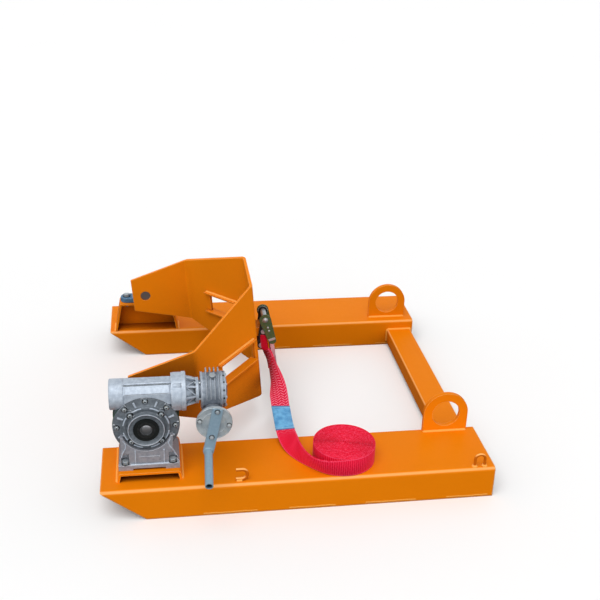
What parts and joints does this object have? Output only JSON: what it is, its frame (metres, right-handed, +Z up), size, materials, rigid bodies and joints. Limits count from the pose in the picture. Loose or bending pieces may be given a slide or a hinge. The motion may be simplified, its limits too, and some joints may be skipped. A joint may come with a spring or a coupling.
{
  "type": "drum tipper",
  "caption": "Fork truck drum tipper: two fork sleeves joined by a crossbeam carry a bent drum cradle that a hand crank tilts through two worm gearboxes; a ratchet strap holds the drum.",
  "frame": {"origin": "middle of the footprint, on the floor under the fork sleeves", "axes": "+X runs from the sloping nose to the open truck end of the fork sleeves, +Y from the crank side to the far side, +Z up"},
  "size_m": [1, 1.1434, 0.4298],
  "materials": {
    "orange_paint": "satin orange paint",
    "cast_aluminium": "rough cast, silver painted",
    "zinc_steel": "zinc plated",
    "bright_steel": "turned",
    "bronze": "machined bronze",
    "black_rubber": "moulded",
    "blue_casting": "blue paint on cast iron",
    "crank_paint": "blue-grey paint",
    "olive_chromate": "olive chromate plating",
    "pale_grip": "pale plated sheet",
    "red_webbing": "woven polyester webbing"
  },
  "bodies": {
    "frame": {"front_sleeve": "orange_paint", "rear_sleeve": "orange_paint", "front_sleeve_floor": "orange_paint", "rear_sleeve_floor": "orange_paint", "front_nose_plate": "orange_paint", "rear_nose_plate": "orange_paint", "crossbeam": "orange_paint", "front_lug": "orange_paint", "rear_lug": "orange_paint", "stow_hook": "orange_paint", "stow_eye": "orange_paint", "front_bridge": "orange_paint", "rear_bridge": "orange_paint", "gearbox_case": "cast_aluminium", "gearbox_front_cover": "cast_aluminium", "gearbox_rear_cover": "cast_aluminium", "gearbox_cover_bolts": "zinc_steel", "gearbox_seals": "black_rubber", "gearbox_foot_bolts": "zinc_steel", "wheel_bearings": "bright_steel", "barrel_end_cap": "cast_aluminium", "worm_bearings": "bright_steel", "adapter_bell": "cast_aluminium", "adapter_bolts": "zinc_steel", "small_case": "cast_aluminium", "small_cover": "cast_aluminium", "small_cover_bolts": "zinc_steel", "oil_plug": "zinc_steel", "input_cover": "cast_aluminium", "input_bearings": "bright_steel", "pillow_block": "blue_casting", "insert_bearing": "bright_steel", "pillow_bolts": "zinc_steel", "strap_tail": "red_webbing", "strap_coil": "red_webbing"},
    "cradle": {"cradle_plate": "orange_paint", "upper_strap_guides": "orange_paint", "lower_strap_guides": "orange_paint", "front_boss": "orange_paint", "rear_boss": "orange_paint", "front_stub_shaft": "bright_steel", "rear_stub_shaft": "bright_steel", "shaft_key": "bright_steel", "worm_wheel_hub": "bright_steel", "worm_wheel_rim": "bronze", "ratchet_bracket": "orange_paint", "ratchet_frame": "olive_chromate", "ratchet_bars": "zinc_steel"},
    "worm": {"worm_shaft": "bright_steel", "small_worm_wheel": "bronze"},
    "crank": {"input_shaft": "bright_steel", "crank_disc": "zinc_steel", "crank_bolts": "zinc_steel", "crank_arm": "crank_paint", "crank_handle": "crank_paint"},
    "lever": {"ratchet_lever": "olive_chromate", "ratchet_grip": "pale_grip"},
    "spool": {"ratchet_spool": "olive_chromate"},
    "pawl": {"ratchet_pawl": "olive_chromate"}
  },
  "joints": [
    {"name": "crank_turn", "type": "hinge", "parent": "frame", "child": "crank", "pos_m": [-0.2195, -0.37328, 0.255], "axis": [0, -1, 0], "range_deg": [-1050, 27300]},
    {"name": "worm_spin", "type": "hinge", "parent": "frame", "child": "worm", "pos_m": [-0.383, -0.37328, 0.301], "axis": [1, 0, 0], "range_deg": [-150, 3900]},
    {"name": "cradle_tilt", "type": "hinge", "parent": "frame", "child": "cradle", "pos_m": [-0.383, 0.04671, 0.226], "axis": [0, -1, 0], "range_deg": [-5, 130], "deforming": ["strap_tail"]},
    {"name": "ratchet_lever_swing", "type": "hinge", "parent": "cradle", "child": "lever", "pos_m": [-0.04336, 0.04672, 0.29085], "axis": [0, -1, 0], "range_deg": [0, 110]},
    {"name": "ratchet_spool_turn", "type": "hinge", "parent": "cradle", "child": "spool", "pos_m": [-0.04336, 0.04672, 0.29085], "axis": [0, -1, 0], "continuous": true},
    {"name": "pawl_slide", "type": "slide", "parent": "lever", "child": "pawl", "axis": [0.309, 0, -0.9511], "range_m": [0, 0.004], "stiffness_N_per_m": 300, "springref_m": -0.006}
  ],
  "couplings": [
    {"joint": "worm_spin", "follows": "crank_turn", "ratio": 0.14286},
    {"joint": "cradle_tilt", "follows": "crank_turn", "ratio": 0.0047619}
  ]
}
